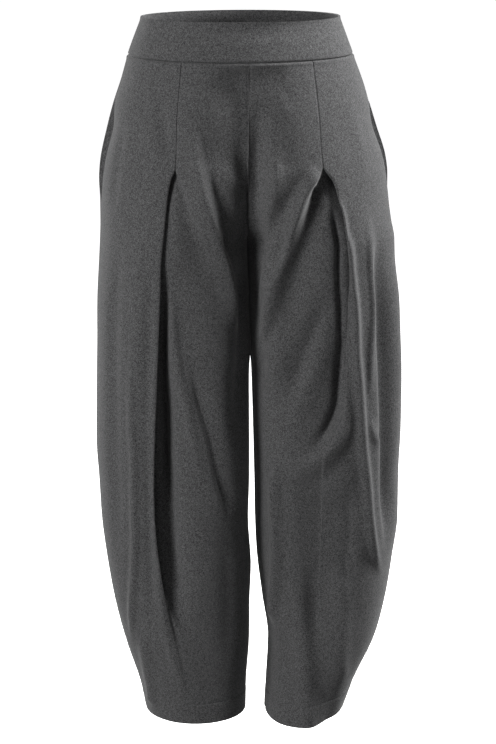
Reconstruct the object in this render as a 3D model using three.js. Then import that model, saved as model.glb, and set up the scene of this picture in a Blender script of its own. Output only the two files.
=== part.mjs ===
// Jersey trousers with a smooth wide waistband, one deep pleat on each front and a balloon leg
// that draws in to a narrow open hem. They keep the hollow form that they have when worn.
//
// Millimetres, +Z up, front towards -Y. The origin is the centre of the waistband's top rim,
// where a wearer's waist holds the garment. Right and left are the wearer's: the right leg is
// on the -X side.
//
// Every piece is a wall of even thickness on a mid-surface that is worked out level by level.
// At each level a leg is an ellipse. Above the crotch the two ellipses overlap and each is cut
// at the centre plane, so their cut ends draw the centre-front and centre-back seams and the
// crotch curve. Below the crotch each ellipse is whole and closes at the inner-leg seam.
import * as THREE from "three";

// ---------------------------------------------------------------- driving dimensions
const WALL = 2; // jersey panels, thicker than the real 1.2 so that the wall is sound
const BAND_WALL = 2.6; // the waistband is two layers
const SEAM_GAP = 0.3; // between two pieces that are sewn together
const BAND_BOTTOM = -50; // height of the seam under the waistband
const HEM = -979; // height of both hems at the side seams
const LAYER = 3.3; // from mid-surface to mid-surface where the pleat lies in layers
const FACING_BEHIND = 4; // the pocket facing's mid-surface lies this far behind the front's
const FACING_REACH = 34; // how far the pocket facing runs forward behind the front
const MOUTH_TOP = -100; // upper end of the pocket facing
const MOUTH_BOTTOM = -242; // lower end of the pocket facing
const MOUTH_PULL = 6.5; // the open pocket edge is drawn this far forward of the side seam
const GAPE_SPREAD = 0.35; // radians round the leg over which the open pocket edge sinks in

const RIGHT = -1; // side of the centre plane, as the sign of X
const LEFT = 1;
const FRONT = -1; // half of the section, as the sign of Y
const BACK = 1;

// The leg's form by height. centre: X of the plane between the legs. right, left: X of the side
// seams, as sizes. parting: 0 where the body is one ellipse, 1 where the legs part. rightGap,
// leftGap: inner leg to centre plane. front, back: depth of the half sections. gape: how far the
// pocket's front edge stands in from the side seam. rightDip, leftDip: how far the level hangs
// down at the front. round: below 1 the front's inner half is squarer than an ellipse. leftTilt:
// how far the left leg's level hangs lower at the inner leg, and stands higher at the side seam.
const FORM = table(
  "height centre right left parting rightGap leftGap front back gape rightDip leftDip round leftTilt",
  [
    [0, 0, 132, 132, 0, 0, 0, 98, 98, 0, 0, 0, 1, 0],
    [-50, 0, 151, 151, 0, 0, 0, 108, 110, 0, 2, 2, 1, 0],
    [-84, 0, 161, 164, 0, 0, 0, 113, 119, 0, 0, 0, 1, 0],
    [-110, 0, 170, 173, 0.02, 0, 0, 116, 126, 1, 0, 0, 1, 0],
    [-150, 0, 181, 186, 0.08, 0, 0, 119, 134, 8, 0, 0, 1, 0],
    [-191, 0, 190, 199, 0.22, 0, 0, 120, 139, 5, 0, 0, 1, 0],
    [-218, 0, 192, 202, 0.4, 0, 0, 120, 140, 1, 0, 0, 0.97, 0],
    [-246, 1, 191, 202, 0.62, 0, 0, 119, 138, 0, 0, 0, 0.9, 0],
    [-273, 3, 191, 204, 0.84, 0, 0, 117, 133, 0, 0, 0, 0.8, 0],
    [-300, 5, 192, 208, 0.99, 0, 0, 115, 126, 0, 0, 0, 0.7, 0],
    [-318, 6, 193, 208, 1, 0.15, 0.15, 114, 121, 0, 0, 0, 0.64, 0],
    [-384, 9, 197, 214, 1, 0.15, 0.15, 109, 114, 0, 0, 0, 0.6, 0],
    [-440, 11, 198, 217, 1, 0.2, 0.2, 106, 109, 0, 0, 0, 0.6, 0],
    [-480, 12, 199, 219, 1, 3.4, 3.4, 105, 107, 0, 0, 0, 0.6, 0],
    [-525, 13, 200, 221, 1, 4.4, 4, 104, 105, 0, 0, 0, 0.6, 0],
    [-583, 14, 201, 223, 1, 5, 4.6, 103, 104, 0, 0, 0, 0.62, 0],
    [-641, 15, 198, 222, 1, 6, 5, 101, 103, 0, 0, 0, 0.65, 0],
    [-699, 17, 195, 222, 1, 9, 4, 99, 101, 0, 0, 0, 0.7, 0],
    [-758, 18, 188, 215, 1, 6, 6, 96, 98, 0, 0, 0, 0.75, 0],
    [-818, 21, 178, 206, 1, 10.5, 10.5, 91, 94, 0, 0, 2, 0.8, 1],
    [-879, 24, 163, 191, 1, 14, 16, 85, 88, 0, 0, 5, 0.85, 4],
    [-940, 21, 144, 163, 1, 15, 16, 78, 81, 0, 1, 9, 0.9, 7],
    [-979, 20, 136, 149, 1, 15, 15, 74, 77, 0, 1, 12, 0.9, 9],
  ],
);

// Each front's pleat by height. edge: X of the outer folded edge, as a size. inner: X of the soft
// inner edge. tuck: how far the cloth runs back under the edge, or, below 0, how far the fold has
// spread open. recess: depth of the cloth that shows between the edges, behind the panel. drop:
// step down from the inner edge. roll: radius of the folded edge. Where edge and inner are the
// same the pleat is stitched shut.
const PLEAT_COLUMNS = "height edge inner tuck recess drop roll";
const PLEATS = {
  [RIGHT]: table(PLEAT_COLUMNS, [
    [-50, 87, 87, 18, 6.6, 6.6, 1.6],
    [-118, 94, 94, 18, 6.6, 6.6, 1.6],
    [-188, 98, 98, 20, 6.8, 6.8, 1.6],
    [-206, 104, 91, 22, 11, 9, 1.7],
    [-226, 108, 85, 23, 9, 9, 1.8],
    [-244, 110, 79, 24, 7, 8.5, 1.8],
    [-273, 113, 69, 25, 7, 8, 1.8],
    [-311, 117, 55, 26, 8, 6, 1.8],
    [-365, 119, 40, 26, 11, 3, 1.8],
    [-433, 122, 32, 26, 14, 1, 1.8],
    [-502, 125, 32, 26, 16, 0, 1.8],
    [-572, 128, 34, 26, 19, 0, 1.8],
    [-642, 129, 36, 26, 20, 0, 1.8],
    [-699, 126, 38, 22, 17, 0, 1.8],
    [-742, 121, 39, 15, 13, 0, 2],
    [-778, 116, 40, 5, 11, 0, 2.3],
    [-804, 111, 41, -5, 9, 0, 2.2],
    [-830, 106, 41, -12, 5.5, 0, 2.1],
    [-860, 99, 40, -16, 2.5, 0, 2],
    [-904, 89, 37, -16, 1, 0, 2],
    [-979, 76, 32, -16, 0, 0, 2],
  ]),
  [LEFT]: table(PLEAT_COLUMNS, [
    [-50, 86, 86, 18, 6.6, 6.6, 1.6],
    [-118, 93, 93, 18, 6.6, 6.6, 1.6],
    [-188, 98, 98, 20, 6.8, 6.8, 1.6],
    [-210, 112, 89, 20, 12, 10, 2],
    [-243, 120, 80, 20, 8.5, 12, 1.8],
    [-277, 125, 69, 20, 7.5, 13, 1.8],
    [-315, 130, 56, 20, 7.5, 13, 1.8],
    [-370, 133, 38, 20, 8.5, 11, 1.8],
    [-411, 134, 28, 18, 10, 9, 2],
    [-439, 133, 22, 16, 11, 6, 2.2],
    [-480, 133, 20, 10, 12, 2, 2.4],
    [-508, 131, 25, 2, 10, 0, 2.4],
    [-536, 127, 31, -6, 8, 0, 2.2],
    [-562, 116, 37, -12, 5, 0, 2],
    [-590, 102, 44, -16, 3, 0, 2],
    [-700, 98, 54, -18, 1, 0, 2],
    [-979, 92, 62, -16, 0, 0, 2],
  ]),
};

// The largest soft folds. rise: how far one stands out, or, below 0, sinks in. width: half width
// of its slope. top, middle, bottom: heights along it, each with the angle in degrees round the
// leg from the side seam.
const FOLD_COLUMNS = [
  "leg", "half", "rise", "width", "top", "topAngle", "middle", "middleAngle", "bottom",
  "bottomAngle",
];
const FOLDS = [
  [RIGHT, FRONT, -15, 36, -52, 88, -130, 90, -230, 103], // hollow below the waist
  [RIGHT, FRONT, -18, 15, -130, 93, -218, 114, -330, 158], // sunk centre seam
  [RIGHT, FRONT, -9, 20, -290, 146, -440, 150, -600, 146], // inside of the thigh
  [LEFT, FRONT, -10, 34, -52, 86, -130, 88, -230, 101],
  [RIGHT, FRONT, 10, 14, -95, 60, -225, 90, -400, 141], // from the pleat to the thigh
  [LEFT, FRONT, -16, 16, -90, 87, -204, 103, -330, 158],
  [LEFT, FRONT, 8, 16, -290, 134, -400, 139, -520, 142],
  [LEFT, FRONT, -13, 15, -280, 44, -480, 45, -750, 37], // fold along the outer leg
  [LEFT, FRONT, 8, 20, -250, 20, -440, 23, -640, 20],
  [LEFT, FRONT, -15, 36, -590, 104, -730, 104, -880, 98], // flat lower leg
  [LEFT, FRONT, -6, 22, -620, 84, -700, 84, -790, 82],
].map((row) => Object.fromEntries(FOLD_COLUMNS.map((name, k) => [name, row[k]])));

// Heights at which a wall has a ring of points.
const BAND_LEVELS = [0, -25, BAND_BOTTOM + SEAM_GAP / 2];
const LEG_LEVELS = [
  BAND_BOTTOM - SEAM_GAP / 2, -80, MOUTH_TOP, -118, -138, -160, -184, -205, -222,
  MOUTH_BOTTOM, -262, -282, -300, -318, -345, -375, -410, -445, -480, -515, -550, -595, -645,
  -700, -748, -780, -812, -862, -922, HEM,
];
const FACING_LEVELS = LEG_LEVELS.filter((z) => z <= MOUTH_TOP && z >= MOUTH_BOTTOM);
const BACK_SPANS = 9;
const BAND_SPANS = 16;

const JERSEY = { color: 0x47474a, roughness: 0.95, metalness: 0 };

// ---------------------------------------------------------------- tables and curves
// A table's reader: given a height it returns an object with one value for each column, on
// smooth curves that never overshoot the rows.
function table(columns, rows) {
  const names = columns.split(" ");
  const sorted = [...rows].sort((a, b) => a[0] - b[0]);
  const heights = sorted.map((row) => row[0]);
  const slopes = names.map((_, k) => slopesThrough(heights, sorted.map((row) => row[k])));
  return (height) => {
    const z = THREE.MathUtils.clamp(height, heights[0], heights.at(-1));
    const i = Math.min(heights.findLastIndex((h) => h <= z), heights.length - 2);
    const span = heights[i + 1] - heights[i];
    const t = (z - heights[i]) / span;
    const read = (k) => {
      const [from, to] = [sorted[i][k], sorted[i + 1][k]];
      const [out, into] = [slopes[k][i] * span, slopes[k][i + 1] * span];
      return (
        (2 * t ** 3 - 3 * t ** 2 + 1) * from +
        (t ** 3 - 2 * t ** 2 + t) * out +
        (3 * t ** 2 - 2 * t ** 3) * to +
        (t ** 3 - t ** 2) * into
      );
    };
    return Object.fromEntries(names.map((name, k) => [name, read(k)]));
  };
}

// Slopes for a cubic through the points that keeps level wherever the points turn back.
function slopesThrough(xs, ys) {
  const steps = xs.slice(1).map((x, i) => x - xs[i]);
  const rises = steps.map((step, i) => (ys[i + 1] - ys[i]) / step);
  return xs.map((_, i) => {
    if (i === 0) return rises[0];
    if (i === xs.length - 1) return rises.at(-1);
    const [before, after] = [rises[i - 1], rises[i]];
    const mean = (before * steps[i] + after * steps[i - 1]) / (steps[i - 1] + steps[i]);
    const least = Math.min(Math.abs(before), Math.abs(after), Math.abs(mean) / 2);
    return (Math.sign(before) + Math.sign(after)) * least;
  });
}

// The knots of a uniform cubic B-spline, which round off a row of control points.
function rounded(controls) {
  return controls.map((control, i) => {
    if (i === 0 || i === controls.length - 1) return control;
    const [before, after] = [controls[i - 1], controls[i + 1]];
    return control.map((value, k) => (before[k] + 4 * value + after[k]) / 6);
  });
}

// ---------------------------------------------------------------- the form of a leg
// One leg's ellipse at a height: its centre stands off the centre plane, and end is the angle
// from the side seam to the centre seam or the inner-leg seam.
function sectionOf(leg, height) {
  const form = FORM(height);
  const side = leg === RIGHT ? form.right + form.centre : form.left - form.centre;
  const gap = leg === RIGHT ? form.rightGap : form.leftGap;
  const halfWidth = (side - gap) / (1 + form.parting);
  return {
    ...form,
    leg,
    halfWidth,
    offset: gap + form.parting * halfWidth,
    end: form.parting < 1 ? Math.acos(-form.parting) : Math.PI,
    dip: leg === RIGHT ? form.rightDip : form.leftDip,
    tilt: leg === RIGHT ? 0 : form.leftTilt,
  };
}

// Angle round the ellipse at which the front has the given X, stated as a size.
function angleAt(section, x) {
  const fromPlane = x + (section.leg === RIGHT ? section.centre : -section.centre);
  const share = (fromPlane - section.offset) / section.halfWidth;
  return Math.acos(THREE.MathUtils.clamp(share, -1, 1));
}

// How far the folds lift the section at an angle.
function foldsAt(section, half, angle, height) {
  const depth = half === FRONT ? section.front : section.back;
  const radius = Math.hypot(section.halfWidth * Math.sin(angle), depth * Math.cos(angle));
  const { smoothstep, mapLinear, degToRad } = THREE.MathUtils;
  let lift = 0;
  for (const fold of FOLDS) {
    if (fold.leg !== section.leg || fold.half !== half) continue;
    const share = mapLinear(height, fold.top, fold.bottom, 0, 1);
    const grow = smoothstep(share, 0, 0.3) * (1 - smoothstep(share, 0.7, 1));
    const line =
      height > fold.middle
        ? mapLinear(height, fold.top, fold.middle, fold.topAngle, fold.middleAngle)
        : mapLinear(height, fold.middle, fold.bottom, fold.middleAngle, fold.bottomAngle);
    const aside = (angle - degToRad(line)) * radius;
    lift += fold.rise * grow * Math.exp(-((aside / fold.width) ** 2));
  }
  return lift;
}

// The point at an angle round the section and a distance out from it. Near a seam on the centre
// plane it moves straight forward or back, so that the seam stays shut.
function pointAt(section, half, angle, out) {
  const depth = half === FRONT ? section.front : section.back;
  const normal = new THREE.Vector2(
    depth * Math.cos(angle),
    half * section.halfWidth * Math.sin(angle),
  ).setLength(out);
  const { smoothstep } = THREE.MathUtils;
  const joined =
    smoothstep(angle / section.end, 0.6, 1) * smoothstep(1 - section.parting, 0, 0.15);
  const x =
    section.offset + section.halfWidth * Math.cos(angle) + normal.x * (1 - joined);
  const power = half === FRONT && angle > Math.PI / 2 ? section.round : 1;
  const y = half * depth * Math.max(Math.sin(angle), 0) ** power + normal.y;
  return new THREE.Vector2(section.leg * x + section.centre, y);
}

// ---------------------------------------------------------------- the rows of each piece
// The front from side seam to centre: outer panel, folded edge, the layer that runs back under
// it, the fold's hidden end, the cloth that shows in the pleat, inner edge, inner panel. Each
// control is [angle, distance out].
function frontControls(leg, height) {
  const section = sectionOf(leg, height);
  const pleat = PLEATS[leg](height);
  const at = angleAt(section, pleat.edge);
  const radius = Math.hypot(
    section.halfWidth * Math.sin(at),
    section.front * Math.cos(at),
  );
  const mm = (length) => length / radius;
  const edge = at - mm(1.3);
  const inner = Math.max(angleAt(section, pleat.inner), edge) + mm(1.3);
  const { roll, recess, drop } = pleat;
  const tuck = Math.max(pleat.tuck, 0);
  const spread = mm(Math.max(-pleat.tuck, 0));
  const open = THREE.MathUtils.clamp(((inner - edge) * radius - 2.6) / 20, 0, 1);
  const shut = 1 - open;
  const show = open * (inner - edge);
  const folded = Math.min(1, tuck / 6);
  const lap = Math.max(LAYER, 2 * roll) * Math.min(1, recess / 4);
  const under = Math.max(lap, recess / 2);
  const pull = (MOUTH_PULL / section.front) * Math.min(1, section.gape / 1.5);

  const controls = [];
  const add = (angle, out) => controls.push([angle, out]);
  for (const share of [0, 0.15, 0.32, 0.5, 0.68, 0.84]) {
    add(share * edge + pull * Math.max(0, 1 - share / 0.68), 0);
  }
  add(edge - mm(1.3 * lap), 0);
  add(edge - mm(0.45 * lap), 0);
  add(edge + mm(0.18 * lap), -0.25 * lap);
  add(edge + mm(0.08 * lap) + 0.1 * spread, -0.8 * lap);
  add(edge - mm(0.7 * lap) * folded + 0.25 * spread, -lap);
  add(edge - mm(0.6 * tuck) + 0.4 * spread, -Math.max(lap, 0.9 * under));
  add(edge - mm(tuck) + 0.55 * spread, -under);
  add(edge - mm(tuck + 1.2 * folded) + 0.7 * spread, -(under + recess) / 2);
  add(edge - mm(tuck - 2) + 0.9 * spread, -recess);
  add(edge - mm(0.5 * tuck - 2) + 1.1 * spread, -recess);
  add(edge - mm(2.5) * shut + 0.12 * show + 1.2 * spread, -recess);
  add(edge + mm(0.2) * shut + 0.34 * show + 0.9 * spread, -recess * (1 - 0.35 * open));
  add(
    edge + mm(1.6) * shut + 0.6 * show + 0.4 * spread,
    -recess * shut - (0.25 * recess + 0.6 * drop) * open,
  );
  add(edge + mm(2.6) * shut + 0.84 * show, -0.8 * recess * shut - drop * open);
  add(inner, -0.5 * drop);
  add(inner + mm(1.2 + 3 * open), 0);
  for (const share of [0.2, 0.42, 0.64, 0.84, 1]) {
    add(inner + share * (section.end - inner), 0);
  }
  return controls.map(([angle, out]) => [
    angle,
    out -
      section.gape * Math.exp(-((angle / GAPE_SPREAD) ** 2)) +
      foldsAt(section, FRONT, angle, height),
  ]);
}

function frontRow(leg, height) {
  const section = sectionOf(leg, height);
  const turns = rounded(frontControls(leg, height));
  return rowOf(section, FRONT, turns, height);
}

function backRow(leg, height) {
  const section = sectionOf(leg, height);
  const turns = evenAngles(section.end, BACK_SPANS).map(([angle]) => [
    angle,
    foldsAt(section, BACK, angle, height),
  ]);
  return rowOf(section, BACK, turns, height);
}

// The pocket facing starts at the back's edge, goes in past the open front edge and then
// forward behind the front.
function facingRow(leg, height) {
  const section = sectionOf(leg, height);
  const mm = (length) => length / section.front;
  const mouth = THREE.MathUtils.smoothstep(section.gape, 2.5, 5.5);
  const start = -FACING_BEHIND * (1 - mouth);
  const behind = (angle) =>
    -section.gape * Math.exp(-((angle / GAPE_SPREAD) ** 2)) - FACING_BEHIND;
  const turns = [
    [mm(1.7), start],
    [mm(2.3), start + (behind(0) - start) * 0.36],
    [mm(3.3), start + (behind(0) - start) * 0.75],
    [mm(6), behind(mm(6))],
    [mm(12), behind(mm(12))],
    [mm(FACING_REACH * 0.6), behind(mm(FACING_REACH * 0.6))],
    [mm(FACING_REACH), behind(mm(FACING_REACH))],
  ];
  return rowOf(section, FRONT, turns, height);
}

// The waistband goes from side seam to side seam in one piece, so its row joins both legs'.
function bandRow(half, height) {
  const right = sectionOf(RIGHT, height);
  const left = sectionOf(LEFT, height);
  const turns = evenAngles(Math.PI / 2, BAND_SPANS / 2);
  const first = rowOf(right, half, turns, height);
  const second = rowOf(left, half, turns, height).reverse();
  const middle = first.at(-1).clone().setX(0);
  return [...first.slice(0, -1), middle, ...second.slice(1)];
}

function evenAngles(end, spans) {
  return Array.from({ length: spans + 1 }, (_, k) => [(end * k) / spans, 0]);
}

// A row of points at one height. The front of a level may hang lower than its sides.
function rowOf(section, half, turns, height) {
  return turns.map(([angle, out]) => {
    const point = pointAt(section, half, angle, out);
    const hang = half === FRONT ? section.dip * Math.sin(angle) : 0;
    const tilt = section.tilt * Math.cos(angle);
    return new THREE.Vector3(point.x, point.y, height - hang + tilt);
  });
}

// ---------------------------------------------------------------- walls
// Each point of a row, moved square to the row by the given distance.
function movedOut(row, distance) {
  return row.map((point, i) => {
    const before = row[Math.max(i - 1, 0)];
    const after = row[Math.min(i + 1, row.length - 1)];
    const along = new THREE.Vector2(after.x - before.x, after.y - before.y).normalize();
    return new THREE.Vector3(
      point.x + along.y * distance,
      point.y - along.x * distance,
      point.z,
    );
  });
}

// A closed wall on a grid of mid-surface rows. keepClear moves a point back to its own side of
// the seams.
function wallOf(rows, thickness, keepClear) {
  const across = rows[0].length;
  const faces = [thickness / 2, -thickness / 2].map((distance) =>
    rows.flatMap((row) => movedOut(row, distance).map(keepClear)),
  );
  const points = faces.flat();
  const inside = faces[0].length;
  const triangles = [];
  const quad = (a, b, c, d) => triangles.push(a, b, c, a, c, d);
  for (let r = 0; r + 1 < rows.length; r += 1) {
    for (let k = 0; k + 1 < across; k += 1) {
      const a = r * across + k;
      quad(a, a + 1, a + 1 + across, a + across);
      quad(inside + a, inside + a + across, inside + a + 1 + across, inside + a + 1);
    }
    for (const [k, flip] of [[0, false], [across - 1, true]]) {
      const a = r * across + k;
      const b = a + across;
      if (flip) quad(a, inside + a, inside + b, b);
      else quad(a, b, inside + b, inside + a);
    }
  }
  for (const [r, flip] of [[0, false], [rows.length - 1, true]]) {
    for (let k = 0; k + 1 < across; k += 1) {
      const a = r * across + k;
      const b = a + 1;
      if (flip) quad(a, b, inside + b, inside + a);
      else quad(a, inside + a, inside + b, b);
    }
  }
  const geometry = new THREE.BufferGeometry();
  geometry.setAttribute(
    "position",
    new THREE.Float32BufferAttribute(points.flatMap((p) => p.toArray()), 3),
  );
  const inward = signedVolume(points, triangles) < 0;
  geometry.setIndex(inward ? triangles.reverse() : triangles);
  geometry.computeVertexNormals();
  return geometry;
}

function signedVolume(points, triangles) {
  let volume = 0;
  for (let i = 0; i < triangles.length; i += 3) {
    const [a, b, c] = triangles.slice(i, i + 3).map((k) => points[k]);
    volume += a.dot(b.clone().cross(c)) / 6;
  }
  return volume;
}

// Keeps a point of one half of one leg its share of a seam gap away from the other leg and from
// the other half.
function clearOfSeams(leg, half) {
  return (point) => {
    const plane = FORM(point.z).centre;
    const aside = Math.max(leg * (point.x - plane), SEAM_GAP / 2);
    const away = Math.max(half * point.y, SEAM_GAP / 2);
    return new THREE.Vector3(plane + leg * aside, half * away, point.z);
  };
}

function clearOfSideSeam(half) {
  return (point) => point.clone().setY(half * Math.max(half * point.y, SEAM_GAP / 2));
}

// ---------------------------------------------------------------- the garment
function addPiece(group, name, geometry) {
  const mesh = new THREE.Mesh(geometry, new THREE.MeshStandardMaterial(JERSEY));
  mesh.name = name;
  group.add(mesh);
}

const group = new THREE.Group();
for (const [half, name] of [[FRONT, "front"], [BACK, "back"]]) {
  const rows = BAND_LEVELS.map((height) => bandRow(half, height));
  addPiece(group, `waistband_${name}`, wallOf(rows, BAND_WALL, clearOfSideSeam(half)));
}
for (const [leg, name] of [[RIGHT, "right"], [LEFT, "left"]]) {
  const fronts = LEG_LEVELS.map((height) => frontRow(leg, height));
  const backs = LEG_LEVELS.map((height) => backRow(leg, height));
  const facings = FACING_LEVELS.map((height) => facingRow(leg, height));
  addPiece(group, `front_${name}`, wallOf(fronts, WALL, clearOfSeams(leg, FRONT)));
  addPiece(group, `back_${name}`, wallOf(backs, WALL, clearOfSeams(leg, BACK)));
  addPiece(group, `pocket_facing_${name}`, wallOf(facings, WALL, clearOfSeams(leg, FRONT)));
}

export default group;
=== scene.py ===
"""Looks of the jersey trousers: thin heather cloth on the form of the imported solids.

Lengths in the tables are millimetres and are turned into metres where the meshes are made.
Front is -Y, and right and left are the wearer's: the right leg is on the -X side.
"""

import math

import bpy
import numpy as np
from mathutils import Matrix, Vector


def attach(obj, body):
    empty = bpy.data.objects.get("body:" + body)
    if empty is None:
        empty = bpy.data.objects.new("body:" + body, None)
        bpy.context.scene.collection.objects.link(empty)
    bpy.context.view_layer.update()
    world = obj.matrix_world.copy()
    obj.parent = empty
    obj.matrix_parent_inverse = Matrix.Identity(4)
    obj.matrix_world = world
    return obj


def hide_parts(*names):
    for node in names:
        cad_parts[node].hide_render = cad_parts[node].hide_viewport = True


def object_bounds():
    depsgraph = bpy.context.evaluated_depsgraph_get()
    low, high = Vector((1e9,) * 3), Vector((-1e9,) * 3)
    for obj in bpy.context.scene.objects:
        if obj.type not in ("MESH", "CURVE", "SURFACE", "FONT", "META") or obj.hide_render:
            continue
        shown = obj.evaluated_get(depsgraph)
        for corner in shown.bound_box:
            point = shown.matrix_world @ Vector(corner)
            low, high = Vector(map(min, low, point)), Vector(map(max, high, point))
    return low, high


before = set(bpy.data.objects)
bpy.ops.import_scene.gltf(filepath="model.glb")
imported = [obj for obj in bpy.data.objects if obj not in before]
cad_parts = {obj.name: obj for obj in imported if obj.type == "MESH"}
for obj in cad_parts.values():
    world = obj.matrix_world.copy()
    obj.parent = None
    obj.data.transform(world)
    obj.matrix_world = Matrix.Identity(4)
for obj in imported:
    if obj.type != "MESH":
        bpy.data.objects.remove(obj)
cad_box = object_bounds()

# ------------------------------------------------------------------ driving dimensions
MM = 0.001
CLOTH = 1.3  # thickness of the jersey
BAND_CLOTH = 2.4  # the waistband is doubled
SEAM_GAP = 0.02  # two sewn pieces all but touch, at the bottom of a seam's groove
SPARE = 0.05  # kept between a panel's face and the planes of its seams
BAND_BOTTOM = -50
HEM = -979
HEM_DEPTH = 30  # from the hem's edge up to its line of stitches
LAYER = 3.3  # between layers of the stitched pleat
FACING_TOP, FACING_BOTTOM = -100, -242
FACING_BEHIND = 4  # from the back of an open pocket's edge to the facing
RIGHT, LEFT = -1, 1
FRONT, BACK = -1, 1
SIDES = {"R": RIGHT, "L": LEFT, "F": FRONT, "B": BACK}  # as the folds' table names them

# Rise and half width, across its line, of each ridge or groove made by sewing.
SEAM_GROOVE = (-1.0, 2.6)
WAIST_GROOVE = (-1.9, 1.2)
WAIST_LIP = (0.8, 1.8)
WAIST_LIP_BELOW = 3.2  # from the waist seam down to the top of its lip
HEM_GROOVE = (-0.5, 1.3)
HEM_STEP = 0.35  # the folded hem stands out this much
BAND_ROLL = (0.9, 3)
BAND_HOLLOW = (-1.6, 9)
BAND_HOLLOW_HEIGHT = -13
BAND_SIDE_GROOVE = (-0.9, 0.025)  # the width in radians
GAPE_REACH = 0.35  # how far round the front the pocket's edge stands in, in radians

# The leg's form by height. centre: X of the plane between the legs. right, left: X of the side
# seams, as sizes. parting: 0 where the body is one ellipse, 1 where the legs part. rightGap,
# leftGap: inner leg to centre plane. front, back: depth of the half sections. gape: how far the
# pocket's front edge stands in. rightDip, leftDip: how far the level hangs down in front. round:
# below 1 the front's inner half is squarer than an ellipse. leftTilt: how far the left leg's level
# hangs lower at the inner leg, and stands higher at the side seam.
FORM_COLUMNS = (
    "height centre right left parting rightGap leftGap front back gape rightDip leftDip round leftTilt"
)
FORM_ROWS = """
   0  0 132 132    0    0    0  98  98   0 0  0    1 0
 -50  0 151 151    0    0    0 108 110   0 2  2    1 0
 -84  0 161 164    0    0    0 113 119   0 0  0    1 0
-110  0 170 173 0.02    0    0 116 126   1 0  0    1 0
-150  0 181 186 0.08    0    0 119 134   8 0  0    1 0
-191  0 190 199 0.22    0    0 120 139 6.5 0  0    1 0
-218  0 192 202  0.4    0    0 120 140 4.5 0  0 0.97 0
-246  1 191 202 0.62    0    0 119 138   1 0  0  0.9 0
-273  3 191 204 0.84    0    0 117 133   0 0  0  0.8 0
-300  5 192 208 0.99    0    0 115 126   0 0  0  0.7 0
-318  6 193 208    1 0.15 0.15 114 121   0 0  0 0.64 0
-384  9 197 214    1 0.15 0.15 109 114   0 0  0  0.6 0
-440 11 198 217    1  0.2  0.2 106 109   0 0  0  0.6 0
-480 12 199 219    1  3.4  3.4 105 107   0 0  0  0.6 0
-525 13 200 221    1  4.4    4 104 105   0 0  0  0.6 0
-583 14 201 223    1    5  4.6 103 104   0 0  0 0.62 0
-641 15 198 222    1    6    5 101 103   0 0  0 0.65 0
-699 17 195 222    1    9    4  99 101   0 0  0  0.7 0
-758 18 188 215    1    6    6  96  98   0 0  0 0.75 0
-818 21 178 206    1 10.5 10.5  91  94   0 0  2  0.8 1
-879 24 163 191    1   14   16  85  88   0 0  5 0.85 4
-940 21 144 163    1   15   16  78  81   0 1  9  0.9 7
-979 20 136 149    1   15   15  74  77   0 1 12  0.9 9
"""

# Each front's pleat by height. edge: X of the outer folded edge, as a size. inner: X of the soft
# inner edge. tuck: how far the cloth runs back under the edge, or, below 0, how far the fold has
# spread open. recess: depth of the cloth between the edges. drop: step down from the inner edge.
# roll: radius of the folded edge.
PLEAT_COLUMNS = "height edge inner tuck recess drop roll"
PLEAT_ROWS = {
    RIGHT: """
 -50  87 87  18 6.6 6.6 1.6
-118  94 94  18 6.6 6.6 1.6
-188  98 98  20 6.8 6.8 1.6
-206 104 91  22  11   9 1.7
-226 108 85  23   9   9 1.8
-244 110 79  24   7 8.5 1.8
-273 113 69  25   7   8 1.8
-311 117 55  26   8   6 1.8
-365 119 40  26  11   3 1.8
-433 122 32  26  14   1 1.8
-502 125 32  26  16   0 1.8
-572 128 34  26  19   0 1.8
-642 129 36  26  20   0 1.8
-699 126 38  22  17   0 1.8
-742 121 39  15  13   0   2
-778 116 40   5  11   0 2.3
-804 111 41  -5   9   0 2.2
-830 106 41 -12 5.5   0 2.1
-860  99 40 -16 2.5   0   2
-904  89 37 -16   1   0   2
-979  76 32 -16   0   0   2
""",
    LEFT: """
 -50  86 86  18 6.6 6.6 1.6
-118  93 93  18 6.6 6.6 1.6
-188  98 98  20 6.8 6.8 1.6
-210 112 89  20  12  10   2
-243 120 80  20 8.5  12 1.8
-277 125 69  20 7.5  13 1.8
-315 130 56  20 7.5  13 1.8
-370 133 38  20 8.5  11 1.8
-411 134 28  18  10   9   2
-439 133 22  16  11   6 2.2
-480 133 20  10  12   2 2.4
-508 131 25   2  10   0 2.4
-536 127 31  -6   8   0 2.2
-562 116 37 -12   5   0   2
-590 102 44 -16   3   0   2
-700  98 54 -18   1   0   2
-979  92 62 -16   0   0   2
""",
}


# ------------------------------------------------------------------ tables and curves
def slopes_through(xs, ys):
    """Slopes for a cubic through the points that keeps level wherever the points turn back."""
    steps = np.diff(xs)
    rises = np.diff(ys) / steps
    slopes = np.empty(len(xs))
    slopes[0], slopes[-1] = rises[0], rises[-1]
    before, after = rises[:-1], rises[1:]
    mean = (before * steps[1:] + after * steps[:-1]) / (steps[:-1] + steps[1:])
    least = np.minimum(np.minimum(abs(before), abs(after)), abs(mean) / 2)
    slopes[1:-1] = (np.sign(before) + np.sign(after)) * least
    return slopes


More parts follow.
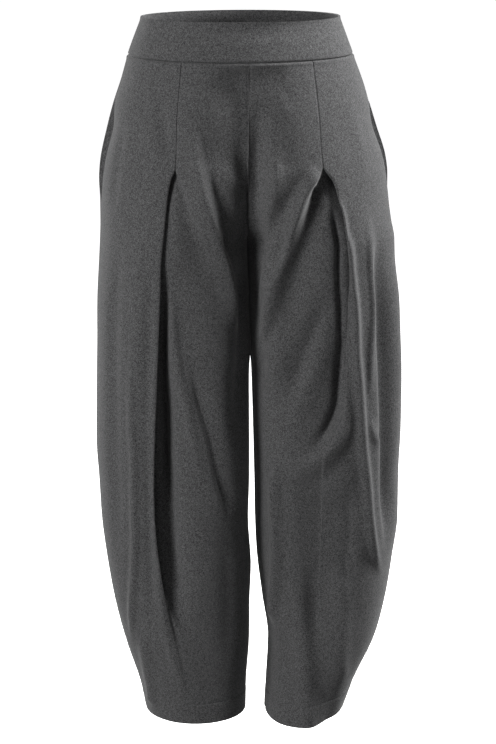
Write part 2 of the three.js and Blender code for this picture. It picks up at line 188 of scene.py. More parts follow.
class Table:
    """Named columns against height, read on smooth curves that never overshoot the rows."""

    def __init__(self, columns, rows):
        self.names = columns.split()
        values = np.array([[float(v) for v in row.split()] for row in rows.split("\n") if row.strip()])
        self.values = values[values[:, 0].argsort()]
        self.slopes = [slopes_through(self.values[:, 0], column) for column in self.values.T]

    def at(self, heights):
        """Every column's values at the heights, by name."""
        keys = self.values[:, 0]
        z = np.clip(heights, keys[0], keys[-1])
        i = np.clip(np.searchsorted(keys, z) - 1, 0, len(keys) - 2)
        span = keys[i + 1] - keys[i]
        t = (z - keys[i]) / span
        read = {}
        for k, name in enumerate(self.names):
            a, b = self.values[i, k], self.values[i + 1, k]
            out, into = self.slopes[k][i] * span, self.slopes[k][i + 1] * span
            read[name] = (
                (2 * t**3 - 3 * t**2 + 1) * a
                + (t**3 - 2 * t**2 + t) * out
                + (3 * t**2 - 2 * t**3) * b
                + (t**3 - t**2) * into
            )
        return read


FORM = Table(FORM_COLUMNS, FORM_ROWS)
PLEATS = {leg: Table(PLEAT_COLUMNS, rows) for leg, rows in PLEAT_ROWS.items()}


def smooth_step(value, low, high):
    t = np.clip((value - low) / (high - low), 0, 1)
    return t * t * (3 - 2 * t)


def swell(distance, rise, width):
    """The height, at a distance from its line, of a soft ridge, or of a groove if rise is below 0."""
    return rise * np.exp(-((distance / width) ** 2))


def b_spline(controls, samples):
    """A uniform cubic B-spline down axis 0 of the controls, with that many samples for each span."""
    first = 2 * controls[:1] - controls[1:2]
    last = 2 * controls[-1:] - controls[-2:-1]
    c = np.concatenate([first, controls, last])
    parts = []
    for k, count in enumerate(samples):
        for t in np.arange(count) / count:
            basis = [(1 - t) ** 3, 3 * t**3 - 6 * t**2 + 4, -3 * t**3 + 3 * t**2 + 3 * t + 1, t**3]
            parts.append(np.tensordot(np.array(basis) / 6, c[k : k + 4], 1))
    parts.append(controls[-1])
    return np.array(parts)


# ------------------------------------------------------------------ the form of a leg
class Section:
    """One leg's ellipses at an array of heights, each from its side seam round to its end."""

    def __init__(self, leg, heights):
        form = FORM.at(heights)
        self.leg, self.height, self.centre = leg, heights, form["centre"]
        self.front, self.back, self.gape = form["front"], form["back"], form["gape"]
        side = form["right"] + form["centre"] if leg == RIGHT else form["left"] - form["centre"]
        gap = form["rightGap"] if leg == RIGHT else form["leftGap"]
        self.parting = parting = form["parting"]
        self.half_width = (side - gap) / (1 + parting)
        self.offset = gap + parting * self.half_width
        self.end = np.where(parting < 1, np.arccos(-np.minimum(parting, 1)), math.pi)
        self.dip = form["rightDip"] if leg == RIGHT else form["leftDip"]
        self.round = form["round"]
        self.tilt = form["leftTilt"] if leg == LEFT else 0

    def angle_at(self, x):
        """The angle at which the front has that X, stated as a size."""
        share = (x - self.leg * self.centre - self.offset) / self.half_width
        return np.arccos(np.clip(share, -1, 1))

    def place(self, half, angle, out):
        """Points, in mm, at angles round the section and distances out from it."""
        depth = self.front if half == FRONT else self.back
        nx, ny = depth * np.cos(angle), half * self.half_width * np.sin(angle)
        size = np.hypot(nx, ny)
        joined = smooth_step(angle / self.end, 0.6, 1) * smooth_step(1 - self.parting, 0, 0.15)
        x = self.offset + self.half_width * np.cos(angle) + out * nx / size * (1 - joined)
        power = np.where((half == FRONT) & (angle > math.pi / 2), self.round, 1)
        y = half * depth * np.maximum(np.sin(angle), 0) ** power + out * ny / size
        hang = (self.dip * np.sin(angle) if half == FRONT else 0) - self.tilt * np.cos(angle)
        return np.stack([self.leg * x + self.centre, y, self.height - hang + 0 * angle], -1)


def gape_at(section, angle):
    """How far the front stands in, from the pocket's edge round."""
    return swell(angle, section.gape, GAPE_REACH)


def front_controls(section):
    """Control angles and distances out, from the side seam to the centre: outer panel, folded
    edge, the layers under it, the cloth that shows in the pleat, inner edge, inner panel."""
    pleat = PLEATS[section.leg].at(section.height)
    at = section.angle_at(pleat["edge"])
    radius = np.hypot(section.half_width * np.sin(at), section.front * np.cos(at))

    def mm(length):
        return length / radius

    sewn = 1 - smooth_step(pleat["edge"] - pleat["inner"], 0, 8)  # 1 where the pleat's edges meet
    tight = 1 - 0.6 * sewn  # there the cloth turns more sharply
    inset = mm(1.3 - 0.9 * sewn)  # from each edge to the control that makes it
    edge = at - inset
    inner = np.maximum(section.angle_at(pleat["inner"]), at) + inset
    recess, drop = pleat["recess"], pleat["drop"]
    tuck = np.maximum(pleat["tuck"], 0)
    spread = mm(np.maximum(-pleat["tuck"], 0))  # how far the fold has spread open
    opened = np.clip(((inner - edge) * radius - 2.6) / 20, 0, 1)  # 1 where 20 mm of cloth shows
    shut = 1 - opened
    show = opened * (inner - edge)
    folded = np.minimum(1, tuck / 6)  # 0 where no cloth runs back under the edge
    lap = np.maximum(LAYER, 2 * pleat["roll"]) * np.minimum(1, recess / 4)
    under = np.maximum(lap, recess / 2)  # depth of the layer under the folded edge
    pull = 6.5 / section.front * np.minimum(1, section.gape / 1.5)  # how far the pocket's edge is drawn
    controls = []

    def add(angle, out):
        controls.append((angle + 0 * edge, out - gape_at(section, angle) + 0 * edge))

    for share in (0, 0.15, 0.32, 0.5, 0.68, 0.84):
        add(share * edge + pull * max(0, 1 - share / 0.68), 0)
    add(edge - mm(1.3 * lap) * tight, 0)
    add(edge - mm(0.45 * lap) * tight, 0)
    add(edge + mm(0.18 * lap) * tight, -0.25 * lap * tight)
    add(edge + mm(0.08 * lap) + 0.1 * spread, -0.8 * lap)
    add(edge - mm(0.7 * lap) * folded + 0.25 * spread, -lap)
    add(edge - mm(0.6 * tuck) + 0.4 * spread, -np.maximum(lap, 0.9 * under))
    add(edge - mm(tuck) + 0.55 * spread, -under)
    add(edge - mm(tuck + 1.2 * folded) + 0.7 * spread, -(under + recess) / 2)
    add(edge - mm(tuck - 2) + 0.9 * spread, -recess)
    add(edge - mm(0.5 * tuck - 2) + 1.1 * spread, -recess)
    add(edge - mm(2.5) * shut + 0.12 * show + 1.2 * spread, -recess)
    add(edge + mm(0.2) * shut * tight + 0.34 * show + 0.9 * spread, -recess * (1 - 0.35 * opened))
    add(
        edge + mm(1.6) * shut * tight + 0.6 * show + 0.4 * spread,
        -recess * shut - (0.25 * recess + 0.6 * drop) * opened,
    )
    add(edge + mm(2.6) * shut * tight + 0.84 * show, -0.8 * recess * shut - drop * opened)
    add(inner, -0.5 * drop * tight)
    add(inner + mm(1.2 + 3 * opened) * tight, 0)
    for share in (0.2, 0.42, 0.64, 0.84, 1):
        add(inner + share * (section.end - inner), 0)
    return np.array(controls)


# Samples for each span of the front's controls: wide on the panels, close round the folds.
# FRONT_COLUMNS is where each control comes among them.
FRONT_SAMPLES = [10] * 5 + [8] + [4] * 2 + [3] * 4 + [2] * 2 + [3, 4] + [7] * 3 + [5, 4] + [9] * 5
FRONT_COLUMNS = np.concatenate([[0], np.cumsum(FRONT_SAMPLES)])
LEVEL_STEP = 4.5
BAND_STEP = 2.5
BAND_COLUMNS, BACK_COLUMNS = 50, 110  # on a quarter of the band, and on a back panel
CLOSE_LEVELS = (-4, -2.4, -1.2, 0, 1.2, 2.4, 4)  # from a seam, in place of even ones within 5 mm


def levels(top, bottom, step, close=()):
    """Heights from top to bottom, an even step apart, with more beside each height in close."""
    heights = list(np.linspace(top, bottom, int(round((top - bottom) / step)) + 1))
    for height in close:
        heights = [z for z in heights if abs(z - height) > 5 or z in (top, bottom)]
        heights += [height + d for d in CLOSE_LEVELS if bottom < height + d < top]
    return np.array(sorted(heights, reverse=True))


# ------------------------------------------------------------------ folds laid on the form
# Soft ridges, and troughs where rise is below 0, one to a row: leg, half, panel, rise, near, far,
# start, stop and path. near and far: half widths towards the side seam and away from it. start and
# stop: shares of the length over which the fold grows and dies. path: angle,height points, the
# angle in degrees round the leg from the side seam. panel: the side of the pleat's edge that the
# fold is on, outer or inner, or all where it runs across. A row goes on after a backslash. The
# folds lie as they do in worn cloth, so few are alike.
FOLDS = """
R F outer   2.6 14 16  .3  .4  52,-252 58,-311 58,-366 56,-422 54,-478 54,-534
R F outer   5.0  7  6 .35 .12  57,-400 54,-478 54,-534 56,-590 54,-648 53,-706 46,-767 35,-832 24,-870
R F outer  -4.0 13 12  .3  .3  38,-250 37,-357 35,-427 36,-511 37,-595 35,-683 28,-773
R F outer  -3.5  8  8  .3  .2  62,-270 67,-364 66,-475 67,-587 65,-702 60,-792 55,-869
R F all     5.0 11 10  .3  .1  47,-840 37,-915 28,-965
R F outer   3.5  7  6  .4  .2  73,-540 72,-701 70,-790 71,-850 73,-889 75,-927 77,-950
R F outer   2.4 16 16  .3  .4  39,-109 47,-153 55,-191 57,-250
R F outer  -3.0  9  8  .3  .2  46,-90 52,-133 62,-182
R F outer  -1.8 10 10  .3  .3  24,-120 29,-190 30,-260

R F inner   -18  6  7  .3  .3  77,-325 77,-353 77,-394 76,-450 77,-505 78,-561 78,-618 79,-676
R F inner   -14 14 11  .3  .3  77,-420 80,-480 82,-540 83,-600 83,-670 83,-735 84,-794 87,-850
R F inner   5.5  8  6 .25  .3  84,-351 85,-393 87,-434 91,-476 96,-504 99,-539 103,-568 106,-597 \
                                109,-633
R F inner  -7.0  6 15  .3  .2  98,-434 103,-476 109,-519 116,-562 119,-594 123,-625 129,-655 135,-684
R F inner    10 12  8  .4  .2  60,-95 64,-121 69,-150 77,-186 90,-225 105,-258 122,-295 134,-355 \
                                141,-396 149,-429
R F inner    -8 10 20  .3  .2  66,-109 73,-148 82,-187 98,-229 124,-279 139,-322
R F inner   -15 36 36  .1  .3  88,-52 88,-90 90,-130 93,-170 102,-212
R F inner    -6 16 16  .3  .3  96,-165 105,-210 120,-240
R F inner   -21 17 13  .7 .45  90,-100 93,-140 98,-178 108,-204 122,-234 136,-262 150,-300 158,-330
R F inner  -3.0 24 24  .3  .3  89,-300 95,-380 100,-450
R F inner  -9.0 20 20  .3  .3  146,-290 150,-360 150,-440 148,-520 146,-600
R F inner   3.0 18 18  .3  .4  106,-600 104,-732 105,-791 108,-841
R F inner  -3.0 14 14  .4  .3  126,-680 127,-800 124,-900

L F inner   9.0  6 10 .06 .15  69,-192 77,-207 85,-222 96,-246 114,-283 125,-323 135,-370 144,-409 \
                                154,-438
L F inner  -7.0  8  5 .08  .5  76,-214 84,-232 92,-250 101,-268 109,-283
L F inner  -6.0 11 12  .3  .3  79,-188 84,-208 98,-235 115,-261 133,-286
L F inner   4.5  9 10 .35  .3  82,-112 84,-145 88,-177 95,-204 107,-231 127,-263 150,-299
L F inner   3.0  7  7  .3  .3  106,-251 124,-280 140,-322 148,-364 158,-402
L F inner   2.0  8  7  .4  .4  81,-76 78,-97 76,-113 74,-129
L F inner   -10 30 36 .12  .3  86,-52 86,-90 88,-130 91,-170 100,-212
L F inner   -20 12 17  .5  .4  86,-86 89,-125 93,-164 103,-204 119,-239 136,-270 152,-302 158,-330
L F inner   8.0 16 16  .3  .3  134,-290 138,-360 140,-440 142,-520
L F inner  -6.0 12 12  .3  .3  92,-356 95,-370 105,-412 115,-449 124,-484 132,-517
L F inner   3.5 13 13  .3  .4  90,-409 100,-451 112,-494 121,-529 132,-572
L F inner   3.0 14 14  .3  .3  120,-380 126,-415 136,-459 150,-513
L F inner    -8  4  5 .15  .3  73,-241 77,-267 81,-301 82,-342 82,-384 82,-426 83,-461 84,-496
L F inner   -10  7  9  .4  .3  84,-420 84,-455 86,-490 88,-518 95,-546 104,-567 116,-585
L F all     6.0 13 10 .35  .4  81,-486 82,-514 83,-538 88,-560 97,-579 108,-597 121,-608 135,-612
L F all    -4.0 15 12  .3  .4  73,-553 80,-583 92,-608 109,-627 133,-638
L F all     -15 36 36  .3  .3  104,-590 105,-660 104,-730 102,-800 98,-880
L F all      -6 22 22  .3  .3  84,-620 84,-700 82,-790

L F outer  10.0  7  6 .05 .16  73,-205 73,-227 72,-250 76,-281 75,-318 74,-357 73,-399 73,-441 72,-497 \
                                71,-540 70,-575 68,-604 65,-641 63,-678 59,-716 49,-752 36,-780
L F outer   3.0  6  5  .3  .2  48,-244 55,-290 55,-345 55,-387 58,-435 61,-484 62,-519
L F outer   2.5  5  5  .3  .3  63,-533 60,-558 50,-584
L F outer   -13 18 10 .35  .2  43,-230 45,-300 45,-376 45,-450 45,-520 44,-600 41,-690 37,-750
L F outer   7.0 24 20  .5  .4  17,-180 20,-270 22,-360 23,-440 22,-520 20,-640
L F outer  -1.5  6  6  .3  .3  58,-530 52,-560 46,-585
L F outer  -4.0  7  7  .3  .3  80,-300 79,-383 79,-439 79,-509
L F outer   1.5 12 12  .3  .3  37,-100 41,-172 48,-225
L F all     9.0  9  9  .2  .1  141,-585 144,-647 143,-705 144,-764 152,-812 160,-845
L F all     5.0  9 16 .35   0  121,-725 121,-799 119,-857 110,-914 97,-959 92,-979
L F all      -4 14 13 .35   0  111,-740 109,-811 103,-869 85,-927 71,-953 66,-979
L F all     4.0 12 12  .3  .2  85,-738 79,-826 76,-885 57,-937
L F all    -3.0  9  9  .3  .3  80,-622 77,-710 79,-797

R B all      -7 24 24  .3  .4  88,-90 92,-150 100,-195
R B all     -10 14 14  .4  .3  96,-165 104,-195 115,-222 128,-250
R B all    -8.5 16 22  .3  .3  112,-250 122,-290 134,-340 146,-400
R B all     6.5 10 16  .3  .3  96,-262 106,-315 120,-375 134,-450
R B all      -7 14 18  .3  .4  70,-300 84,-380 100,-470 114,-560
R B all       7 12 14  .3  .3  62,-400 64,-500 70,-620 74,-760
R B all     -11 22 26  .3  .3  96,-500 94,-610 90,-720 86,-850
R B all     5.5  8 11  .3  .3  34,-290 39,-400 41,-540 37,-690
R B all    -5.5 12 12  .3  .4  24,-480 27,-600 25,-740
R B all     6.5 11 13  .4  .1  112,-760 107,-850 98,-950
R B all      -4 10 12  .4  .1  60,-800 58,-880 52,-965
R B all       4  9  9  .4  .4  140,-560 138,-650 132,-740

L B all      -7 24 24  .3  .4  88,-90 92,-150 100,-195
L B all     -10 14 14  .4  .3  96,-165 104,-195 115,-222 128,-250
L B all    -8.5 15 20  .3  .3  114,-255 124,-300 138,-350 150,-405
L B all       7  9 15  .3  .3  92,-250 104,-300 118,-350 136,-420
L B all    -5.5 12 16  .3  .4  74,-330 90,-410 108,-490 124,-570
L B all     6.5 11 12  .3  .4  78,-470 74,-560 72,-650 66,-740
L B all   -12.5 24 26  .3  .3  102,-530 98,-640 94,-740 88,-850
L B all       7  9 10  .3  .3  42,-250 46,-350 47,-470 42,-600
L B all    -6.5 13 11  .3  .4  30,-380 34,-480 34,-600 30,-700
L B all     5.5 10 12  .4  .1  58,-760 56,-850 50,-950
L B all      -4 10 10  .4  .1  96,-840 92,-910 88,-970
L B all       4  9  9  .4  .4  134,-590 136,-680 130,-770
"""
LEG_AXIS = 114  # from the middle plane to the middle of a leg
FOLD_REACH = 3  # a fold is nothing beyond this many half widths


def read_fold(row):
    """A row's leg, half and panel, then what fold_rise wants of it."""
    leg, half, panel, *sizes = row.split()[:8]
    path = [tuple(float(v) for v in point.split(",")) for point in row.split()[8:]]
    return SIDES[leg], SIDES[half], panel, (path, *(float(size) for size in sizes))


def smooth_path(points, pieces=6):
    """A Catmull-Rom curve through the points."""
    p = np.array(points, float)
    p = np.concatenate([2 * p[:1] - p[1:2], p, 2 * p[-1:] - p[-2:-1]])
    t = (np.arange(pieces) / pieces)[:, None]
    parts = [
        0.5 * (2 * b + (c - a) * t + (2 * a - 5 * b + 4 * c - d) * t**2 + (3 * b - a - 3 * c + d) * t**3)
        for a, b, c, d in zip(p, p[1:], p[2:], p[3:])
    ]
    return np.concatenate([*parts, p[-2:-1]])


def fold_rise(ground, leg, half, path, rise, near, far, start, stop):
    """How far one fold lifts each point of the ground, an array of points on the bare form."""
    line_at = smooth_path(path)
    line = Section(leg, line_at[:, 1]).place(half, np.radians(line_at[:, 0]), 0)
    length = np.concatenate([[0], np.cumsum(np.linalg.norm(np.diff(line, axis=0), axis=1))])
    reach = FOLD_REACH * max(near, far)
    lowest, highest = line[:, 2].min() - reach, line[:, 2].max() + reach
    rows = (ground[..., 2].min(axis=1) < highest) & (ground[..., 2].max(axis=1) > lowest)
    points = ground[rows]
    best = np.full(points.shape[:-1], np.inf)
    side = np.zeros(points.shape[:-1])
    along = np.zeros(points.shape[:-1])
    for k, (a, b) in enumerate(zip(line, line[1:])):
        run = b - a
        t = np.clip((points - a) @ run / (run @ run), 0, 1)
        off = points - a - t[..., None] * run
        distance = np.linalg.norm(off, axis=-1)
        closer = distance < best
        outward = np.array([a[0] - leg * LEG_AXIS, 2 * a[1], 0])
        turn = off @ np.cross(outward, run)
        best = np.where(closer, distance, best)
        side = np.where(closer, -leg * half * turn, side)
        along = np.where(closer, length[k] + t * (length[k + 1] - length[k]), along)
    along /= length[-1]
    grow = smooth_step(along, 0, start) if start else 1
    if stop:
        grow = grow * (1 - smooth_step(along, 1 - stop, 1))
    lifted = np.zeros(ground.shape[:-1])
    lifted[rows] = grow * swell(best, rise, np.where(side > 0, near, far))
    return lifted


def folds_on(leg, half, angle, heights, shares):
    """All the folds of a panel. shares gives, for each column, how much of the folds on either
    side of the pleat's edge it takes."""
    ground = Section(leg, heights).place(half, angle, 0 * angle).transpose(1, 0, 2)
    total = np.zeros(ground.shape[:-1])
    for row in FOLDS.split("\n"):
        if row:
            fold_leg, fold_half, panel, fold = read_fold(row)
            if (fold_leg, fold_half) == (leg, half):
                total += shares[panel] * fold_rise(ground, leg, half, *fold)
    return total.T


# ------------------------------------------------------------------ walls
def meet(face, mid, gaps):
    """Draws a face's edges out along the cloth to the planes where the next pieces start.

    An edge is left alone where it runs along the plane, or is over 2.5 mm from it."""
    least_rate, most_steps = 0.3 * MM, 2.5
    for edge, inside in ((np.s_[:, 0], np.s_[:, 3]), (np.s_[:, -1], np.s_[:, -4]), (0, 3), (-1, -4)):
        way = mid[edge] - mid[inside]
        way *= MM / np.linalg.norm(way, axis=1, keepdims=True)
        near = gaps(face[edge])
        rate = near - gaps(face[edge] + way)
        steps = (near - SEAM_GAP / 2 * MM) / np.maximum(rate, least_rate)
        steps = np.where(rate > least_rate, steps, np.inf).min(axis=0)
        face[edge] += way * np.where(steps < most_steps, steps, 0)[:, None]


def run_along(mid, axis):
    """The length of cloth up to each point of a grid, along one axis."""
    steps = np.linalg.norm(np.diff(mid, axis=axis), axis=2)
    start = np.zeros_like(np.take(steps, [0], axis=axis))
    return np.concatenate([start, np.cumsum(steps, axis=axis)], axis=axis)


def wall_mesh(name, rows, thickness, gaps):
    """A closed wall of even thickness on a grid of mid-surface points, rows down and columns
    across. UV is in metres of cloth."""
    mid = rows * MM
    down = np.gradient(mid, axis=0)
    across = np.gradient(mid, axis=1)
    normal = np.cross(across, down)
    normal /= np.maximum(np.linalg.norm(normal, axis=2, keepdims=True), 1e-12)
    half = thickness * MM / 2
    outer, inner = mid + normal * half, mid - normal * half
    meet(outer, mid, gaps)
    meet(inner, mid, gaps)
    n, m = mid.shape[:2]
    points = np.concatenate([outer.reshape(-1, 3), inner.reshape(-1, 3)])
    index = np.arange(n * m).reshape(n, m)
    a, b = index[:-1, :-1], index[:-1, 1:]
    c, d = index[1:, 1:], index[1:, :-1]
    front = np.stack([a, d, c, b], -1).reshape(-1, 4)
    back = np.stack([a, b, c, d], -1).reshape(-1, 4) + n * m
    rims = []
    for edge, flip in ((index[0], 1), (index[-1], 0), (index[:, 0], 0), (index[:, -1], 1)):
        p, q = edge[:-1], edge[1:]
        rim = np.stack([p, q, q + n * m, p + n * m], -1)
        rims.append(rim[:, ::-1] if flip else rim)
    faces = np.concatenate([front, back, *rims])
    if signed_volume(points, faces) < 0:
        faces = faces[:, ::-1]
    uv = np.tile(np.stack([run_along(mid, 1), run_along(mid, 0)], -1).reshape(-1, 2), (2, 1))
    mesh = bpy.data.meshes.new(name)
    mesh.from_pydata(points.tolist(), [], faces.tolist())
    layer = mesh.uv_layers.new(name="cloth")
    layer.uv.foreach_set("vector", uv[faces.reshape(-1)].astype(np.float32).ravel())
    mesh.polygons.foreach_set("use_smooth", [True] * len(faces))
    mesh.update()
    return mesh


def signed_volume(points, faces):
    """The volume that the faces enclose, below 0 where they face inwards."""
    a, b, c, d = (points[faces[:, k]] for k in range(4))
    return float((a * np.cross(b, c)).sum() + (a * np.cross(c, d)).sum()) / 6


# ------------------------------------------------------------------ pieces
SEAM_LEVELS = (BAND_BOTTOM - SEAM_GAP / 2 - 3, HEM + HEM_DEPTH, HEM + 2)


def panel_points(section, half, angle, out):
    """Rows of points down a panel, each on its own side of the planes of the seams."""
    rows = section.place(half, angle, out).transpose(1, 0, 2)
    plane = FORM.at(rows[..., 2])["centre"]
    spare = CLOTH / 2 + SPARE
    aside = np.maximum(section.leg * (rows[..., 0] - plane), spare)
    away = np.maximum(half * rows[..., 1], spare)
    return np.stack([plane + section.leg * aside, half * away, rows[..., 2]], -1)


def seam_dents(section, angle, side_seam):
    """The groove along each seam, the lip under the waistband, and the hem's line of stitches."""
    radius = np.hypot(section.half_width * np.sin(angle), section.front * np.cos(angle))
    seams = swell((section.end - angle) * radius, *SEAM_GROOVE)
    seams = seams + side_seam * swell(angle * radius, *SEAM_GROOVE)
    below = BAND_BOTTOM - section.height
    waist = swell(below, *WAIST_GROOVE) + swell(below - WAIST_LIP_BELOW, *WAIST_LIP)
    above = section.height - HEM - HEM_DEPTH
    hem = swell(above, *HEM_GROOVE) + HEM_STEP * smooth_step(-above, 0, 3)
    return seams + waist + hem


def front_rows(leg):
    heights = levels(BAND_BOTTOM - SEAM_GAP / 2, HEM, LEVEL_STEP, SEAM_LEVELS)
    section = Section(leg, heights)
    turns = b_spline(front_controls(section), FRONT_SAMPLES)
    angle, out = turns[:, 0], turns[:, 1]
    column = np.arange(len(angle))
    outer = 1 - smooth_step(column, FRONT_COLUMNS[10], FRONT_COLUMNS[14])
    inner = smooth_step(column, FRONT_COLUMNS[12], FRONT_COLUMNS[15])
    shares = {"outer": outer, "inner": inner, "all": np.ones(len(column))}
    open_mouth = smooth_step(section.gape, 0, 1)
    out = out + folds_on(leg, FRONT, angle, heights, shares)
    out = out + seam_dents(section, angle, (1 - open_mouth) * outer[:, None])
    return panel_points(section, FRONT, angle, out)


def back_rows(leg):
    """The back's columns are a little closer in the middle, where its folds are."""
    heights = levels(BAND_BOTTOM - SEAM_GAP / 2, HEM, LEVEL_STEP, SEAM_LEVELS)
    section = Section(leg, heights)
    even = np.linspace(0, 1, BACK_COLUMNS)
    share = even + 0.06 * np.sin(2 * math.pi * even) / (2 * math.pi)
    angle = share[:, None] * section.end
    out = folds_on(leg, BACK, angle, heights, {"all": np.ones(len(share))})
    return panel_points(section, BACK, angle, out + seam_dents(section, angle, 1))


def band_rows(half):
    """The band's top edge is rolled, and its front is a little hollow below that."""
    heights = levels(0, BAND_BOTTOM + SEAM_GAP / 2, BAND_STEP, (-2, BAND_BOTTOM + 2))
    angle = np.linspace(0, math.pi / 2, BAND_COLUMNS)[:, None] * np.ones(len(heights))
    roll = swell(heights, *BAND_ROLL)
    hollow = swell(heights - BAND_HOLLOW_HEIGHT, *BAND_HOLLOW) * np.sin(angle) ** 2
    seams = swell(heights - BAND_BOTTOM, *WAIST_GROOVE) + swell(angle, *BAND_SIDE_GROOVE)
    out = roll + hollow + seams
    first = Section(RIGHT, heights).place(half, angle, out)
    second = Section(LEFT, heights).place(half, angle, out)[::-1]
    rows = np.concatenate([first[:-1], second]).transpose(1, 0, 2)
    rows[..., 1] = half * np.maximum(half * rows[..., 1], BAND_CLOTH / 2 + SPARE)
    return rows


def facing_rows(leg):
    """A strip that runs from the side seam's edge back behind the front, where the pocket is open."""
    section = Section(leg, levels(FACING_TOP, FACING_BOTTOM, LEVEL_STEP))
    mouth = smooth_step(section.gape, 0.6, 2.2)
    start = -FACING_BEHIND * (1 - mouth)
    angles = np.array([0.7, 1.8, 3.3, 6, 12, 20, 34])[:, None] / section.front
    behind = -gape_at(section, angles) - FACING_BEHIND
    share = np.array([0, 0.36, 0.75, 1, 1, 1, 1])[:, None]
    turns = b_spline(np.stack([angles, start + (behind - start) * share], 1), [4] * 6)
    return panel_points(section, FRONT, turns[:, 0], turns[:, 1])


def leg_gaps(leg, half):
    """How far points are from the planes of a panel's seams."""

    def gaps(points):
        aside = leg * (points[:, 0] - FORM.at(points[:, 2] / MM)["centre"] * MM)
        return np.stack([aside, half * points[:, 1], BAND_BOTTOM * MM - points[:, 2]])

    return gaps


def band_gaps(half):
    """How far points are from the planes of half a band's seams."""
    return lambda points: np.stack([half * points[:, 1], points[:, 2] - BAND_BOTTOM * MM])


def add_piece(name, rows, gaps, thickness, material):
    """A piece of cloth that stands for the solid of that name."""
    mesh = wall_mesh(name, rows, thickness, gaps)
    mesh.materials.append(material)
    piece = bpy.data.objects.new(f"{name}_cloth", mesh)
    bpy.context.scene.collection.objects.link(piece)
    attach(piece, "root")
    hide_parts(name)


# ------------------------------------------------------------------ material
def node(tree, kind, inputs=None, **settings):
    """A new node, with each input linked to a socket or set to a value."""
    made = tree.nodes.new(kind)
    for key, value in settings.items():
        setattr(made, key, value)
    for key, value in (inputs or {}).items():
        if isinstance(value, bpy.types.NodeSocket):
            tree.links.new(value, made.inputs[key])
        else:
            made.inputs[key].default_value = value
    return made


def heather(name, dark, light):
    """Brushed jersey: dark and light fibres mixed finely, with a faint drift over a few stitches."""
    material = bpy.data.materials.new(name)
    material.use_nodes = True
    tree = material.node_tree
    tree.nodes.clear()
    where = node(tree, "ShaderNodeTexCoord").outputs["Object"]
    fine = {"Vector": where, "Scale": 1000.0, "Detail": 3.0, "Roughness": 0.7}
    fibres = node(tree, "ShaderNodeTexNoise", fine)
    drift = node(tree, "ShaderNodeTexNoise", {"Vector": where, "Scale": 330.0, "Detail": 2.0})
    some = node(tree, "ShaderNodeMath", {0: drift.outputs["Fac"], 1: 0.22}, operation="MULTIPLY")
    both = {0: fibres.outputs["Fac"], 1: some.outputs[0]}
    mixed = node(tree, "ShaderNodeMath", both, operation="ADD").outputs[0]
    ramp = node(tree, "ShaderNodeMapRange", {"Value": mixed, "From Min": 0.475, "From Max": 0.85})
    colour = node(tree, "ShaderNodeMix", {"Factor": ramp.outputs["Result"]}, data_type="RGBA")
    colour.inputs[6].default_value = (*dark, 1)
    colour.inputs[7].default_value = (*light, 1)
    bump = node(tree, "ShaderNodeBump", {"Height": mixed, "Strength": 0.3, "Distance": 0.0005})
    cloth = {
        "Base Color": colour.outputs[2],
        "Normal": bump.outputs[0],
        "Roughness": 0.95,
        "Specular IOR Level": 0.1,
        "Sheen Weight": 0.12,
        "Sheen Roughness": 0.5,
    }
    shader = node(tree, "ShaderNodeBsdfPrincipled", cloth)
    node(tree, "ShaderNodeOutputMaterial", {"Surface": shader.outputs[0]})
    return material


JERSEY = heather("jersey", (0.012, 0.012, 0.0125), (0.14, 0.14, 0.142))

for half, name in ((FRONT, "front"), (BACK, "back")):
    band = band_rows(half)
    add_piece(f"waistband_{name}", band, band_gaps(half), BAND_CLOTH, JERSEY)
for leg, name in ((RIGHT, "right"), (LEFT, "left")):
    to_front, to_back = leg_gaps(leg, FRONT), leg_gaps(leg, BACK)
    front, back, facing = front_rows(leg), back_rows(leg), facing_rows(leg)
    add_piece(f"front_{name}", front, to_front, CLOTH, JERSEY)
    add_piece(f"back_{name}", back, to_back, CLOTH, JERSEY)
    add_piece(f"pocket_facing_{name}", facing, to_front, CLOTH, JERSEY)


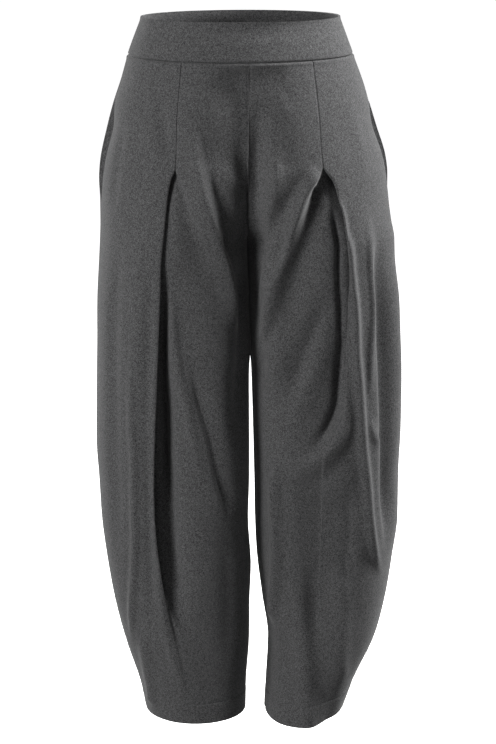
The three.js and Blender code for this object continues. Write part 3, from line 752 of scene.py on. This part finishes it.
# ------------------------------------------------------------------ stage, light and camera
def add_floor():
    """A wide white floor, lit evenly, a hand's breadth below the hems."""
    size = 40
    z = cad_box[0].z - 0.09
    corners = [(-size, -size, z), (size, -size, z), (size, size, z), (-size, size, z)]
    mesh = bpy.data.meshes.new("floor")
    mesh.from_pydata(corners, [], [(0, 1, 2, 3)])
    material = bpy.data.materials.new("floor")
    material.use_nodes = True
    shader = material.node_tree.nodes["Principled BSDF"]
    shader.inputs["Base Color"].default_value = (0.9, 0.9, 0.9, 1)
    shader.inputs["Roughness"].default_value = 1
    shader.inputs["Specular IOR Level"].default_value = 0
    shader.inputs["Emission Color"].default_value = (1, 1, 1, 1)
    shader.inputs["Emission Strength"].default_value = 0.9
    mesh.materials.append(material)
    floor = bpy.data.objects.new("floor", mesh)
    floor.visible_diffuse = False
    bpy.context.scene.collection.objects.link(floor)


def add_area_light(name, place, aim, size, power):
    data = bpy.data.lights.new(name, "AREA")
    data.shape = "RECTANGLE"
    data.size, data.size_y = size
    data.energy = power
    light = bpy.data.objects.new(name, data)
    bpy.context.scene.collection.objects.link(light)
    light.location = place
    toward = Vector([to - at for to, at in zip(aim, place)])
    light.rotation_mode = "QUATERNION"
    light.rotation_quaternion = toward.to_track_quat("-Z", "Y")


def add_camera():
    """A long lens, a little above the waist and to the wearer's right, that looks down."""
    distance, height, aside = 3.1, 0.262, 0.010
    turn, pitch = math.radians(6.3), math.radians(13.65)
    data = bpy.data.cameras.new("camera")
    data.sensor_width = 36
    data.lens = 111.05
    camera = bpy.data.objects.new("camera", data)
    bpy.context.scene.collection.objects.link(camera)
    camera.location = (
        -distance * math.sin(turn) + aside * math.cos(turn),
        -distance * math.cos(turn) - aside * math.sin(turn),
        height,
    )
    camera.rotation_euler = (math.pi / 2 - pitch, 0, -turn)
    bpy.context.scene.camera = camera


add_floor()
add_area_light("left", (-2.1, -1.72, 0.35), (0, 0, -0.5), (0.8, 1.4), 88)
add_area_light("right", (1.75, -0.05, 1.25), (0, 0, -0.45), (0.7, 1.2), 155)
add_area_light("back", (-1.8, 2.2, 0.5), (0, 0, -0.5), (0.8, 1.2), 66)
world = bpy.data.worlds.new("studio")
world.use_nodes = True
world.node_tree.nodes["Background"].inputs["Color"].default_value = (1, 1, 1, 1)
world.node_tree.nodes["Background"].inputs["Strength"].default_value = 0.16
bpy.context.scene.world = world
bpy.context.scene.view_settings.view_transform = "Standard"
add_camera()
